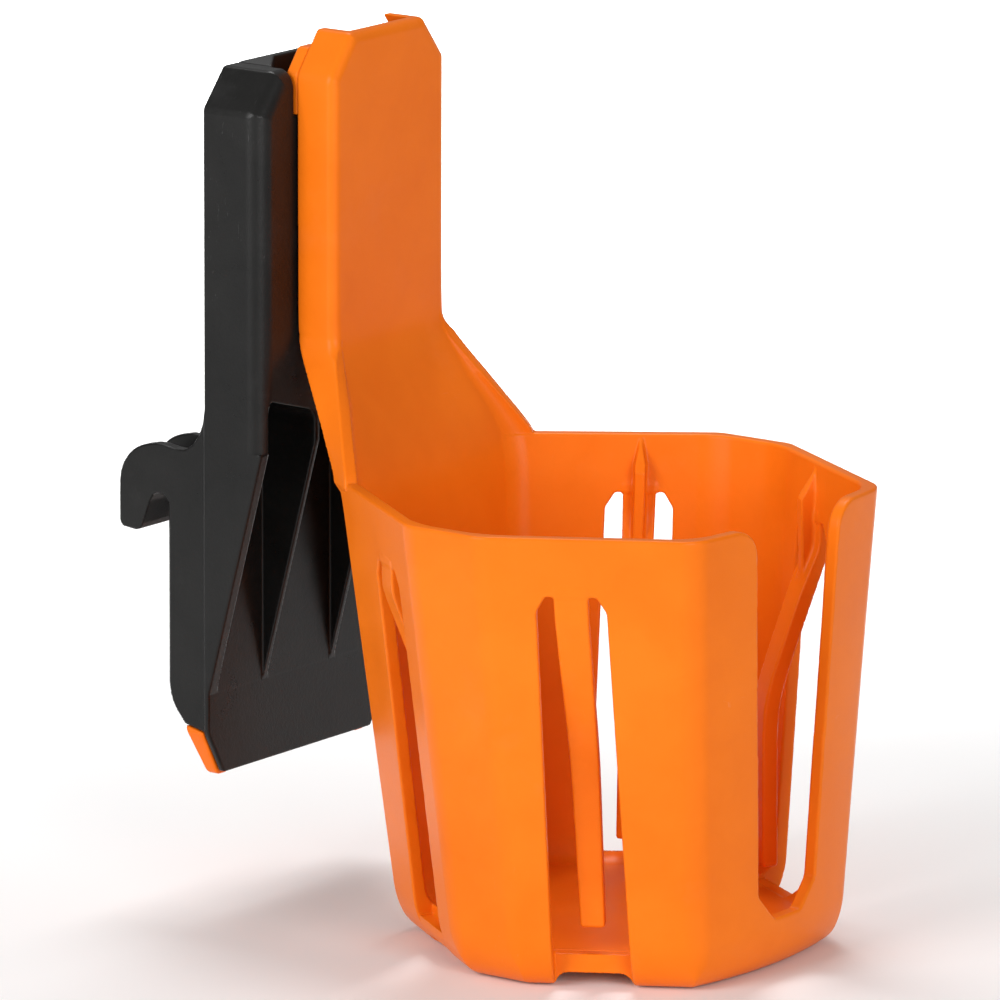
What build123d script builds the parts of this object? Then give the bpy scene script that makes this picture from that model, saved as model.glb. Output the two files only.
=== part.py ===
"""Cup and tool holder that hangs on a rail.

A black bracket hooks over a horizontal rail and locks under it with a sprung orange latch.
An orange holder with four springy grip fingers slides down onto the bracket.
Millimetres. +Z is up, -Y is the front (cup) side, X is the width.
The origin is the top of the rail's seat in the hook, in the middle of the width.
"""
from build123d import *
from math import cos, radians, sin
import os

os.makedirs("parts", exist_ok=True)

# ---------------------------------------------------------------- driving dimensions
# bracket
BRACKET_HALF = 32.0          # half of the bracket's width
BRACKET_TOP = 93.9
BRACKET_BOTTOM = -61.1
BRACKET_BACK = -12.4         # back face above the hook
BRACKET_FRONT = -27.9
WALL = 3.0                   # side walls
FRONT_WALL = 2.8
APRON_FRONT = -13.4          # thin plate that carries the lower half
APRON_BACK = -11.9
RAIL_FACE = -2.65            # edges that lie against the rail
TOP_CHAMFER = (7.2, 8.4)     # width and height of the cut top corners
FOOT_CHAMFER = (5.7, 10.0)
CORNER_RADIUS = 4.5
BLADE_X = 12.0               # the two stiffening blades in front
BLADE_THICK = 1.6
HOOK_RIB_THICK = 2.2
HOOK_RIB_PITCH = 12.3
HOOK_TIP = -8.9              # lowest point of the hook
INSERT_HALF = 19.8           # guide insert behind the tongue
SEAM = 0.3
T_WEB_HALF = 5.0             # T-shaped tongue of the holder
T_HEAD_HALF = 10.0
T_HEAD_FRONT = -24.9
T_HEAD_BACK = -21.9
SLIDE_GAP = 0.3
TONGUE_FOOT = 40.0           # lower end of the tongue
CAP_FOOT = 83.9              # the tongue's cap rests here
# latch
STEM_HALF = 19.5
LATCH_FRONT = -11.7
LATCH_BACK = -8.9
LATCH_TOP = -14.0
LATCH_BOTTOM = -61.8
SPRING_X = 14.0
SPRING_Y = -9.0
SPRING_OUTER = 5.2
SPRING_WIRE = 0.7
SPRING_FOOT = -47.0
SPRING_HEAD = -33.0
COVER_FRONT = -6.2
COVER_BACK = -3.4
SCREW_X = 24.5
SCREW_Z = (-15.0, -40.5)
# holder
NECK_HALF = 19.9
NECK_FRONT = -38.3
NECK_BACK = -28.4
NECK_TOP = 101.7
NECK_CHAMFER = (7.0, 9.0)
NECK_WALL = 3.0
BEND = 34.0                  # height where the neck starts to flare
RIM = 9.3
BASE = -89.6
CUP_Y = -96.3                # centre of the cup
CUP_WALL = 3.0
FLOOR_TOP = -82.7
FLOOR_UNDER = -86.8
# each cup wall: direction of its outward normal, distance from the centre at rim and at base
CUP_SIDES = ((90.0, 49.4, 39.2), (35.2, 53.2, 40.7), (0.0, 57.25, 46.1),
             (-30.8, 53.0, 45.0), (-90.0, 46.8, 41.2))
FRONT_BULGE = (2.8, 5.6)     # how far the front wall curves out, at rim and at base
CUP_CORNER = 8.0
CUP_FOOT_ROUND = 7.0
# front opening for a mug's handle
MOUTH_TOP_HALF = 14.9
MOUTH_LOW_HALF = 9.7
MOUTH_FOOT_HALF = 4.6
MOUTH_LOW = -77.2
MOUTH_CUT = 5.3              # height of the cut lower corners
# grip fingers
FINGER_WIDTH = 7.2
FINGER_TIP_WIDTH = 5.2
FINGER_THICK = 3.4
FINGER_GAP = 3.7
FINGER_ROOT = -4.0
FINGER_RIB = 2.4
RIB_DEPTH = 5.9              # of the root rib's crest, inwards from the wall's outer face
RIB_TOP = 8.0
# side view of a finger's outer face, as steps inwards from the wall and heights
FINGER_CURVE = ((0.0, -4.3), (0.4, -9.0), (2.2, -14.0), (6.8, -25.5), (11.0, -36.0), (12.2, -40.5),
                (12.8, -46.0), (13.0, -54.0), (13.0, -77.5))
FOOT_REACH = 12.5            # where the floor's edge shows in a slot, inwards from the rim's plane
# the diagonal walls carry a finger each: front pair and back pair
# wall's number in CUP_SIDES, then the slot's centre at its top and at the base, measured along
# the wall towards the side from the foot of the wall's normal
FINGER_WALLS = {"front": (3, 3.5, -1.0), "back": (1, 6.2, 4.0)}
# tongue behind the neck
TONGUE_SEAT = -33.6
TONGUE_BACK = -31.2
TONGUE_SCREW_X = 13.2
TONGUE_SCREW_Z = (47.0, 76.0)


# ---------------------------------------------------------------- helpers
def prism_x(points, x0, x1):
    """Polygon of (y, z) points, between two x planes."""
    face = make_face(Polyline(*[(0, y, z) for y, z in points], close=True))
    return Pos(x0, 0, 0) * extrude(face, amount=x1 - x0, dir=(1, 0, 0))


def prism_y(points, y0, y1):
    """Polygon of (x, z) points, between two y planes."""
    face = make_face(Polyline(*[(x, 0, z) for x, z in points], close=True))
    return Pos(0, y0, 0) * extrude(face, amount=y1 - y0, dir=(0, 1, 0))


def prism_z(points, z0, z1):
    """Polygon of (x, y) points, between two z planes."""
    face = make_face(Polyline(*[(x, y, 0) for x, y in points], close=True))
    return Pos(0, 0, z0) * extrude(face, amount=z1 - z0, dir=(0, 0, 1))


def block(x0, x1, y0, y1, z0, z1):
    """Box from its lowest to its highest corner."""
    centre = ((x0 + x1) / 2, (y0 + y1) / 2, (z0 + z1) / 2)
    return Pos(*centre) * Box(x1 - x0, y1 - y0, z1 - z0)


def rod_y(x, z, radius, y0, y1):
    """Cylinder along Y."""
    return Pos(x, (y0 + y1) / 2, z) * Rot(90, 0, 0) * Cylinder(radius, y1 - y0)


def mirrored(points):
    """The same outline on the other side of the middle."""
    return [(-x, other) for x, other in points]


def both_sides(solid):
    """A solid and its mirror image in X."""
    return solid + mirror(solid, Plane.YZ)


def save(shape, name):
    shape.label = name
    export_step(shape, f"parts/{name}.step")


# ---------------------------------------------------------------- bracket
def bracket_outline():
    """Side view of the bracket, hook included."""
    def at(y, z):
        return (0, y, z)

    edges = [
        Line(at(BRACKET_FRONT, BRACKET_TOP), at(BRACKET_BACK, BRACKET_TOP)),
        Line(at(BRACKET_BACK, BRACKET_TOP), at(BRACKET_BACK, 22.0)),
        ThreePointArc(at(BRACKET_BACK, 22.0), at(-10.5, 14.4), at(-5.2, 10.3)),
        Line(at(-5.2, 10.3), at(2.6, 10.3)),
        ThreePointArc(at(2.6, 10.3), at(8.5, 7.2), at(10.8, 0.0)),
        Line(at(10.8, 0.0), at(10.9, -7.2)),
        ThreePointArc(at(10.9, -7.2), at(10.3, -8.4), at(9.2, HOOK_TIP)),
        Line(at(9.2, HOOK_TIP), at(5.9, HOOK_TIP)),
        Line(at(5.9, HOOK_TIP), at(4.6, -7.4)),
        Line(at(4.6, -7.4), at(2.6, -2.4)),
        ThreePointArc(at(2.6, -2.4), at(0.0, 0.0), at(RAIL_FACE, -2.8)),
        Line(at(RAIL_FACE, -2.8), at(RAIL_FACE, -41.4)),
        ThreePointArc(at(RAIL_FACE, -41.4), at(-3.7, -45.9), at(-6.9, -50.0)),
        Line(at(-6.9, -50.0), at(APRON_BACK, -51.2)),
        Line(at(APRON_BACK, -51.2), at(APRON_BACK, BRACKET_BOTTOM)),
        Line(at(APRON_BACK, BRACKET_BOTTOM), at(APRON_FRONT, BRACKET_BOTTOM)),
        Line(at(APRON_FRONT, BRACKET_BOTTOM), at(APRON_FRONT, -42.9)),
        Line(at(APRON_FRONT, -42.9), at(BRACKET_FRONT, 11.8)),
        Line(at(BRACKET_FRONT, 11.8), at(BRACKET_FRONT, BRACKET_TOP)),
    ]
    return make_face(edges)


def hook_gap_outline():
    """Space between two hook ribs, above the skin that lines the rail's seat."""
    def at(y, z):
        return (0, y, z)

    edges = [
        Line(at(APRON_BACK, 40.0), at(14.0, 40.0)),
        Line(at(14.0, 40.0), at(14.0, -12.0)),
        Line(at(14.0, -12.0), at(7.6, -12.0)),
        Line(at(7.6, -12.0), at(7.4, -7.0)),
        Line(at(7.4, -7.0), at(5.2, -1.6)),
        ThreePointArc(at(5.2, -1.6), at(0.0, 2.6), at(-5.05, -2.4)),
        Line(at(-5.05, -2.4), at(-5.05, -6.5)),
        Line(at(-5.05, -6.5), at(APRON_BACK, -6.5)),
        Line(at(APRON_BACK, -6.5), at(APRON_BACK, 40.0)),
    ]
    return make_face(edges)


def bracket_housing():
    half = BRACKET_HALF
    inner = half - WALL
    body = Pos(-half, 0, 0) * extrude(bracket_outline(), amount=2 * half, dir=(1, 0, 0))

    wide, tall = TOP_CHAMFER
    top_corner = [(half + 1, BRACKET_TOP + 1), (half - wide - wide / tall, BRACKET_TOP + 1),
                  (half + wide / tall, BRACKET_TOP - tall - 1), (half + 1, BRACKET_TOP - tall)]
    wide, tall = FOOT_CHAMFER
    foot_corner = [(half + 1, BRACKET_BOTTOM - 1), (half + 1, BRACKET_BOTTOM + tall + 2),
                   (half, BRACKET_BOTTOM + tall), (half - wide, BRACKET_BOTTOM),
                   (half - wide - 0.57, BRACKET_BOTTOM - 1)]
    for corner in (top_corner, foot_corner):
        body -= prism_y(corner, -40, 20)
        body -= prism_y(mirrored(corner), -40, 20)

    # rounded front corners of the tall upper box, over the side faces and the cut top corners
    front = body.edges().filter_by(
        lambda e: abs(e.center().Y - BRACKET_FRONT) < 0.1 and abs(e.center().X) > half - wide - 2
        and e.center().Z > 30)
    body = fillet(front, CORNER_RADIUS)

    # upper box is hollow, and open at the back and top for the guide insert
    body -= block(-inner, inner, BRACKET_FRONT + FRONT_WALL, BRACKET_BACK - 2.4, 24.5, BRACKET_TOP - 2.5)
    opening = INSERT_HALF + SEAM
    body -= block(-opening, opening, BRACKET_FRONT + FRONT_WALL, BRACKET_BACK + 1, 30.0, BRACKET_TOP + 1)
    shell = prism_y([(half, 70), (half, BRACKET_TOP - TOP_CHAMFER[1]),
                     (half - TOP_CHAMFER[0], BRACKET_TOP), (opening, BRACKET_TOP),
                     (opening, BRACKET_TOP - 2.5), (half - TOP_CHAMFER[0] - 1.2, BRACKET_TOP - 2.5),
                     (inner, BRACKET_TOP - TOP_CHAMFER[1] - 1.6), (inner, 70)],
                    BRACKET_FRONT + FRONT_WALL, BRACKET_BACK)
    body += both_sides(shell)

    # slot for the tongue's web, and the recess that its cap drops into
    web = T_WEB_HALF + SLIDE_GAP
    head = T_HEAD_HALF + SLIDE_GAP
    body -= block(-web, web, BRACKET_FRONT - 1, BRACKET_FRONT + FRONT_WALL + 0.1,
                  TONGUE_FOOT - 2.0, BRACKET_TOP + 1)
    body -= block(-opening, opening, BRACKET_FRONT - 1, BRACKET_FRONT + FRONT_WALL + 0.1,
                  CAP_FOOT, BRACKET_TOP + 1)
    guide_wall = block(head, head + 2.0, BRACKET_FRONT + FRONT_WALL - 0.1, T_HEAD_BACK + 0.2,
                       TONGUE_FOOT - 4.0, CAP_FOOT - 1.0)
    body += both_sides(guide_wall)
    body += block(-head - 2.0, head + 2.0, BRACKET_FRONT + FRONT_WALL - 0.1, T_HEAD_BACK + 0.2,
                  TONGUE_FOOT - 4.0, TONGUE_FOOT - 2.0)

    # front pockets, which leave the two blades and the side walls
    blade = BLADE_THICK / 2
    side_pocket = [(inner, -70), (inner, 21.6), (inner - 0.8, 22.9), (BLADE_X + blade + 1.5, 18.9),
                   (BLADE_X + blade, 17.2), (BLADE_X + blade, -70)]
    middle_pocket = [(BLADE_X - blade, -70), (BLADE_X - blade, 17.2), (BLADE_X - blade - 1.5, 18.9),
                     (-BLADE_X + blade + 1.5, 18.9), (-BLADE_X + blade, 17.2), (-BLADE_X + blade, -70)]
    for pocket in (side_pocket, mirrored(side_pocket), middle_pocket):
        body -= prism_y(pocket, -40, APRON_FRONT)

    # latch bay behind the apron, open to the back and below
    body -= block(-inner, inner, APRON_BACK, 20, -70, -9.0)

    # spaces between the hook's ribs
    gap = hook_gap_outline()
    ribs = [HOOK_RIB_PITCH * (n - 1.5) for n in range(4)]
    edges = [-inner] + [x + side * HOOK_RIB_THICK / 2 for x in ribs for side in (-1, 1)] + [inner]
    for left, right in zip(edges[0::2], edges[1::2]):
        body -= Pos(left, 0, 0) * extrude(gap, amount=right - left, dir=(1, 0, 0))

    # screw bosses and spring ledges of the latch bay
    for z in SCREW_Z:
        boss = rod_y(SCREW_X, z, 3.6, APRON_BACK - 0.1, COVER_FRONT)
        body += both_sides(boss + block(SCREW_X, inner + 0.1, APRON_BACK - 0.1, COVER_FRONT, z - 1, z + 1))
        body -= both_sides(rod_y(SCREW_X, z, 1.25, APRON_BACK, COVER_FRONT + 0.1))
    body += both_sides(block(SPRING_X - 3.0, SPRING_X + 3.0, APRON_BACK - 0.1, COVER_FRONT - 0.2,
                             SPRING_FOOT - 2.5, SPRING_FOOT))
    return body


def guide_insert():
    """Hollow block behind the tongue, with the opening seen from above."""
    half = INSERT_HALF
    back = BRACKET_BACK
    front = T_HEAD_BACK + 0.3
    body = block(-half, half, front, back, 30.0, BRACKET_TOP)
    body -= block(-half + 2.4, half - 2.4, front + 2.2, back - 2.4, 32.4, BRACKET_TOP - 2.5)
    body -= prism_z([(-half - 1, front - 1), (half + 1, front - 1), (half + 1, front + 0.5), (9.5, back - 1.9),
                     (-9.5, back - 1.9), (-half - 1, front + 0.5)], CAP_FOOT, BRACKET_TOP + 1)
    return body


def rear_cover():
    """Closes the latch bay. The latch's nose looks out through the gap in its lower edge."""
    body = block(-28.7, 28.7, COVER_FRONT, COVER_BACK, -44.8, -9.3)
    body -= block(-8.5, 8.5, COVER_FRONT - 1, COVER_BACK + 1, -46.5, -28.0)
    for z in SCREW_Z:
        for x in (-SCREW_X, SCREW_X):
            body -= rod_y(x, z, 1.7, COVER_FRONT - 1, COVER_BACK + 1)
            body -= rod_y(x, z, 3.0, COVER_BACK - 1.4, COVER_BACK + 1)
    return body


def pan_screw(x, z, seat, length):
    """Self-tapping screw, driven towards the front from a seat at the given y."""
    head = rod_y(x, z, 2.7, seat, seat + 1.35)
    head = fillet(head.edges().sort_by(Axis.Y)[-1], 0.5)
    head -= Pos(x, seat + 1.35, z) * Box(0.8, 1.4, 3.2)
    head -= Pos(x, seat + 1.35, z) * Box(3.2, 1.4, 0.8)
    return head + rod_y(x, z, 1.2, seat - length, seat)


def rear_cover_screws():
    seat = COVER_BACK - 1.4
    return Compound(children=[pan_screw(x, z, seat, 5.6) for z in SCREW_Z for x in (-SCREW_X, SCREW_X)])


# ---------------------------------------------------------------- latch
def release_latch():
    stem = block(-STEM_HALF, STEM_HALF, LATCH_FRONT, LATCH_BACK, -56.0, LATCH_TOP)
    pad_half = prism_y([(31.8, -49.0), (31.8, -51.6), (26.8, -61.1), (25.8, LATCH_BOTTOM), (0, LATCH_BOTTOM),
                        (0, -49.0)], LATCH_FRONT, LATCH_BACK + 3)
    side_view = prism_x([(LATCH_FRONT, -51.5), (-7.1, -50.3), (-9.2, -65.0), (LATCH_FRONT, -65.0)], -40, 40)
    pad = both_sides(pad_half) & side_view
    nose = prism_x([(LATCH_BACK, -31.0), (0.8, -31.0), (0.8, -33.0), (-3.0, -39.0), (LATCH_BACK, -39.0)],
                   -7.5, 7.5)
    body = stem + pad + nose
    window = block(SPRING_X - 3.4, SPRING_X + 3.4, LATCH_FRONT - 1, LATCH_BACK + 1,
                   SPRING_FOOT - 2.7, SPRING_HEAD)
    body -= both_sides(window)
    # small lips that keep the springs in their windows
    body += both_sides(block(SPRING_X - 3.4, SPRING_X + 3.4, LATCH_FRONT, COVER_FRONT - 0.3,
                             SPRING_HEAD, SPRING_HEAD + 1.6))
    # finger grooves across the pull pad
    for z in (-57.4, -59.6):
        body -= Pos(0, LATCH_BACK + 0.3, z) * Rot(0, 90, 0) * Cylinder(0.6, 36.0)
    return body


def latch_spring(x):
    radius = (SPRING_OUTER - SPRING_WIRE) / 2
    height = SPRING_HEAD - SPRING_FOOT - SPRING_WIRE - 0.1
    path = Helix(pitch=height / 6, height=height, radius=radius)
    start = path @ 0
    section = Plane(origin=start, z_dir=path % 0) * Circle(SPRING_WIRE / 2)
    coil = sweep(section, path=path, is_frenet=True)
    return Pos(x, SPRING_Y, SPRING_FOOT + SPRING_WIRE / 2 + 0.05) * coil


# ---------------------------------------------------------------- holder
def cup_corners(height, inset):
    """Corners of the cup's eight-sided outline at one height, on the +X side, back to front."""
    share = (RIM - height) / (RIM - BASE)
    lines = []
    for angle, at_rim, at_base in CUP_SIDES:
        lines.append((radians(angle), at_rim + (at_base - at_rim) * share - inset))
    corners = []
    for (a, p), (b, q) in zip(lines[:-1], lines[1:]):
        turn = sin(b - a)
        corners.append(((p * sin(b) - q * sin(a)) / turn, CUP_Y + (q * cos(a) - p * cos(b)) / turn))
    return corners


def cup_face(height, inset, radius):
    share = (RIM - height) / (RIM - BASE)
    bulge = FRONT_BULGE[0] + (FRONT_BULGE[1] - FRONT_BULGE[0]) * share
    right = cup_corners(height, inset)
    points = [(-x, y, 0) for x, y in reversed(right)] + [(x, y, 0) for x, y in right]
    front_x, front_y = right[-1]
    front = ThreePointArc(points[-1], (0, front_y - bulge, 0), points[0])
    outline = make_face([Polyline(*points), front])
    return Pos(0, 0, height) * fillet(outline.vertices(), radius)


def cup_shell():
    outer = loft([cup_face(RIM, 0, CUP_CORNER), cup_face(BASE, 0, CUP_CORNER)], ruled=True)
    outer = fillet(outer.edges().filter_by(lambda e: abs(e.center().Z - BASE) < 0.01), CUP_FOOT_ROUND)
    inner = loft([cup_face(RIM + 1, CUP_WALL, CUP_CORNER - 2), cup_face(FLOOR_TOP, CUP_WALL, CUP_CORNER - 2)],
                 ruled=True)
    inner = fillet(inner.edges().filter_by(lambda e: abs(e.center().Z - FLOOR_TOP) < 0.01), 4.0)
    under = loft([cup_face(FLOOR_UNDER, 9.5, 5.0), cup_face(BASE - 1, 9.5, 5.0)], ruled=True)
    return outer - inner - under


def flare_section(height):
    """Section of the channel between the neck and the cup, on the +X side, from its back end."""
    share = (BEND - height) / (BEND - RIM)
    neck = [(NECK_HALF - NECK_WALL, NECK_BACK), (NECK_HALF, NECK_BACK), (NECK_HALF, NECK_FRONT),
            (NECK_HALF - 2.4, NECK_FRONT - 0.05), (NECK_HALF - NECK_WALL, NECK_FRONT),
            (NECK_HALF - NECK_WALL, NECK_FRONT + NECK_WALL)]
    inner_corner = cup_corners(RIM, CUP_WALL)[0]
    angle = radians(CUP_SIDES[1][0])
    front_end = (34.5, -52.4)
    back_wall = CUP_Y + CUP_SIDES[0][1]
    rim = [(27.8, back_wall + 0.4), (30.4, back_wall + 0.4), front_end,
           (front_end[0] - CUP_WALL * cos(angle), front_end[1] - CUP_WALL * sin(angle)),
           inner_corner, (27.7, back_wall)]
    return [(a[0] + (b[0] - a[0]) * share, a[1] + (b[1] - a[1]) * share) for a, b in zip(neck, rim)]


def flare_face(height):
    back_inner, back_outer, front_outer, front_inner, fold, panel_back = flare_section(height)
    loop = [panel_back, back_inner, back_outer, front_outer, front_inner, fold]
    points = loop + [(-x, y) for x, y in reversed(loop)]
    return Pos(0, 0, height) * make_face(Polyline(*[(x, y, 0) for x, y in points], close=True))


def neck():
    half = NECK_HALF
    wide, tall = NECK_CHAMFER
    outer = [(half, BEND), (half, NECK_TOP - tall), (half - wide, NECK_TOP)]
    plate = prism_y(outer + [(-x, z) for x, z in reversed(outer)], NECK_FRONT, NECK_BACK)
    edges = plate.edges().filter_by(lambda e: abs(e.center().Y - NECK_FRONT) < 0.01 and e.center().Z > BEND + 1)
    plate = fillet(edges, 2.0)
    inner_half = half - NECK_WALL
    inner = [(inner_half, BEND - 1), (inner_half, NECK_TOP - tall - 1.2), (inner_half - wide * 1.2, NECK_TOP + 2)]
    plate -= prism_y(inner + [(-x, z) for x, z in reversed(inner)], NECK_FRONT + NECK_WALL, NECK_BACK + 1)
    # bosses that take the tongue's screws
    for z in TONGUE_SCREW_Z:
        plate += both_sides(rod_y(TONGUE_SCREW_X, z, 3.2, NECK_FRONT + 1, TONGUE_SEAT))
        plate -= both_sides(rod_y(TONGUE_SCREW_X, z, 1.25, NECK_FRONT + 1.2, TONGUE_SEAT + 0.1))
    return plate


def mounting_tongue():
    """T-shaped slide screwed into the back of the neck, with the cap that rests on the bracket."""
    plate_half = NECK_HALF - NECK_WALL - 0.2
    body = block(-plate_half, plate_half, TONGUE_SEAT, TONGUE_BACK, TONGUE_FOOT, 88.0)
    body += block(-T_WEB_HALF, T_WEB_HALF, TONGUE_BACK - 0.1, T_HEAD_BACK, TONGUE_FOOT, 96.0)
    body += block(-T_HEAD_HALF, T_HEAD_HALF, T_HEAD_FRONT, T_HEAD_BACK, TONGUE_FOOT, 96.0)
    cap = [(19.6, CAP_FOOT), (19.6, 92.9), (15.6, 98.0)]
    body += prism_y(cap + [(-x, z) for x, z in reversed(cap)], NECK_BACK, BRACKET_FRONT + FRONT_WALL - 0.1)
    for z in TONGUE_SCREW_Z:
        body -= both_sides(rod_y(TONGUE_SCREW_X, z, 1.7, TONGUE_SEAT - 1, TONGUE_BACK + 1))
    return body


def tongue_screws():
    return Compound(children=[pan_screw(x, z, TONGUE_BACK, 5.6)
                              for z in TONGUE_SCREW_Z for x in (-TONGUE_SCREW_X, TONGUE_SCREW_X)])


def wall_depth(end, height):
    """How far the outer face of a diagonal wall has moved in from its place at the rim."""
    at_rim, at_base = CUP_SIDES[FINGER_WALLS[end][0]][1:]
    return (at_rim - at_base) * (RIM - height) / (RIM - BASE)


def on_wall(end, solid):
    """Place a solid made in wall axes: x along the wall towards the side, y inwards, z up."""
    angle, at_rim = CUP_SIDES[FINGER_WALLS[end][0]][:2]
    turn = radians(angle)
    foot = (at_rim * cos(turn), CUP_Y + at_rim * sin(turn), 0)
    frame = Plane(origin=foot, x_dir=(-sin(turn), cos(turn), 0), z_dir=(0, 0, 1))
    if end == "back":
        return frame * mirror(solid, Plane.YZ)
    return frame * solid


def slot_centre(end, height):
    at_top, at_base = FINGER_WALLS[end][1:]
    return at_top + (at_base - at_top) * (FINGER_ROOT - height) / (FINGER_ROOT - BASE)


def slot_cut(end):
    """Two gaps beside the finger, joined below its tip, and their way out through the foot."""
    edge = FINGER_WIDTH / 2 + FINGER_GAP
    top, low, out = FINGER_ROOT, FLOOR_TOP + 0.2, BASE - 6.0

    def outline(bottom):
        mid_top, mid_low = slot_centre(end, top), slot_centre(end, bottom)
        wider = edge + 1.0 * (top - bottom) / (top - BASE)
        return [(mid_top + edge, top - 3.0), (mid_top + edge - 2.2, top), (mid_top - edge + 2.2, top),
                (mid_top - edge, top - 3.0), (mid_low - wider, bottom), (mid_low + wider, bottom)]

    cut = prism_y(outline(low), -12.0, 16.0) + prism_y(outline(out), -12.0, FOOT_REACH)
    notch = prism_y(outline(out), -12.0, 18.5) & block(-30, 30, -20, 30, out, FLOOR_UNDER)
    return cut + notch


def finger_path(end):
    """Outer face of a finger in side view: (inward, height), from root to tip."""
    root = wall_depth(end, FINGER_ROOT)
    return [(root + inward, height) for inward, height in FINGER_CURVE]


def grip_finger(end):
    path = finger_path(end)
    inner = [(inward + FINGER_THICK, height) for inward, height in path]
    inner[0] = (path[0][0] + CUP_WALL, path[0][1])
    strip = prism_x(path + inner[::-1], -20, 20)
    top, tip = path[0][1], path[-1][1]
    mid_top, mid_low = slot_centre(end, top), slot_centre(end, tip)
    half, tip_half = FINGER_WIDTH / 2, FINGER_TIP_WIDTH / 2
    front_view = [(mid_top - half, top + 1), (mid_top + half, top + 1), (mid_low + tip_half, tip - 1),
                  (mid_low - tip_half, tip - 1)]
    strip = strip & prism_y(front_view, -30, 40)
    crest = path[0][0] + RIB_DEPTH
    rib = prism_x([(path[0][0] + 1, top), (crest, top), (crest, -15.0), (path[2][0] + 1, path[2][1]),
                   (path[1][0] + 1, path[1][1])], mid_top - FINGER_RIB / 2, mid_top + FINGER_RIB / 2)
    return on_wall(end, strip + rib)


def root_gusset(end):
    """Short pointed rib on the wall above each finger, which runs on down the finger's root."""
    depth = wall_depth(end, FINGER_ROOT)
    mid = slot_centre(end, FINGER_ROOT)
    at_top = wall_depth(end, RIB_TOP)
    outline = [(depth + 1.0, FINGER_ROOT), (depth + RIB_DEPTH, FINGER_ROOT), (depth + RIB_DEPTH, 1.5),
               (at_top + CUP_WALL - 0.2, RIB_TOP), (at_top + 1.0, RIB_TOP)]
    front_view = [(mid - FINGER_RIB / 2, FINGER_ROOT), (mid + FINGER_RIB / 2, FINGER_ROOT),
                  (mid + FINGER_RIB / 2, 3.0), (mid + 0.3, RIB_TOP), (mid - 0.3, RIB_TOP),
                  (mid - FINGER_RIB / 2, 3.0)]
    return on_wall(end, prism_x(outline, -20, 20) & prism_y(front_view, -30, 40))


def cup_holder():
    body = cup_shell()
    # front opening, open at the rim, with cut lower corners
    top = RIM + 5
    mouth = [(MOUTH_TOP_HALF + 0.3, top), (MOUTH_LOW_HALF, MOUTH_LOW + MOUTH_CUT),
             (MOUTH_FOOT_HALF, MOUTH_LOW)]
    body -= prism_y(mouth + [(-x, z) for x, z in reversed(mouth)], CUP_Y - 60, CUP_Y - 20)
    steps = [BEND, BEND - 3.0, RIM + 8.0, RIM]
    for upper, lower in zip(steps[:-1], steps[1:]):
        body += loft([flare_face(upper), flare_face(lower)], ruled=True)
    body += neck()
    for end in FINGER_WALLS:
        cut = on_wall(end, slot_cut(end))
        body -= both_sides(cut)
        body += both_sides(root_gusset(end))
    return body


def main():
    save(bracket_housing(), "bracket_housing")
    save(guide_insert(), "guide_insert")
    save(rear_cover(), "rear_cover")
    save(rear_cover_screws(), "rear_cover_screws")
    save(release_latch(), "release_latch")
    save(latch_spring(-SPRING_X), "latch_spring_left")
    save(latch_spring(SPRING_X), "latch_spring_right")
    save(cup_holder(), "cup_holder")
    save(mounting_tongue(), "mounting_tongue")
    save(tongue_screws(), "tongue_screws")
    for end in FINGER_WALLS:
        finger = grip_finger(end)
        save(finger, f"grip_finger_{end}_right")
        save(mirror(finger, Plane.YZ), f"grip_finger_{end}_left")


main()
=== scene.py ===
"""Looks of the rail-hung cup and tool holder, for Blender 4.5.

Every moulded piece is a solid given by a distance function, in millimetres in the CAD's frame.
The function is turned into a mesh, thinned where it is flat, and laid exactly on the surface,
so each edge has the small round that a moulded edge has.
"""
import math

import bmesh
import bpy
import numpy as np
from mathutils import Matrix, Vector


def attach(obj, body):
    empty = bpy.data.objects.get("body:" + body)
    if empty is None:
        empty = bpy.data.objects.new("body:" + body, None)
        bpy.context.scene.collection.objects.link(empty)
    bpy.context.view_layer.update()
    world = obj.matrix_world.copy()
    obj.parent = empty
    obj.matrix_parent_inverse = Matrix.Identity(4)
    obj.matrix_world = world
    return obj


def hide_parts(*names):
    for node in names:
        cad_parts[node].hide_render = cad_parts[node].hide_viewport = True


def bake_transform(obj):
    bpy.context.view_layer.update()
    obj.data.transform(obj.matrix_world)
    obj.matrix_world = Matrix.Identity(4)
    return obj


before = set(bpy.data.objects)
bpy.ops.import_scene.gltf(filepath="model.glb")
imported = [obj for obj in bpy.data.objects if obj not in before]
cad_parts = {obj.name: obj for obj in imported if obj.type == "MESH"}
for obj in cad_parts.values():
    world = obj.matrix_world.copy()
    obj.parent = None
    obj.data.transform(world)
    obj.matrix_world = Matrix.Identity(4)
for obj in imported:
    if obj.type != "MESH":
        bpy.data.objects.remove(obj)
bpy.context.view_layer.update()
MM = 0.001

# ---------------------------------------------------------------- dimensions, as in the CAD
BRACKET_TOP = 93.9
BRACKET_BOTTOM = -61.1
BRACKET_BACK = -12.4
BRACKET_FRONT = -27.9
FRONT_WALL = 2.8
APRON_FRONT = -13.4
APRON_BACK = -11.9
APRON_TOP = -42.9            # where the leaning front meets the thin lower plate
CAP_FOOT = 83.9
TONGUE_FOOT = 40.0
NECK_HALF = 19.9
NECK_FRONT = -38.3
NECK_BACK = -28.4
NECK_TOP = 101.7
BEND = 34.0
FLARE_SLOPE = 0.47
RIM = 9.3
BASE = -89.6
CUP_Y = -96.3
WALL = 3.0
FLOOR_TOP = -82.7
FLOOR_UNDER = -86.8
MOUTH_LOW = -77.2            # sill of the front opening
FINGER_TIP = -77.6
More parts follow.
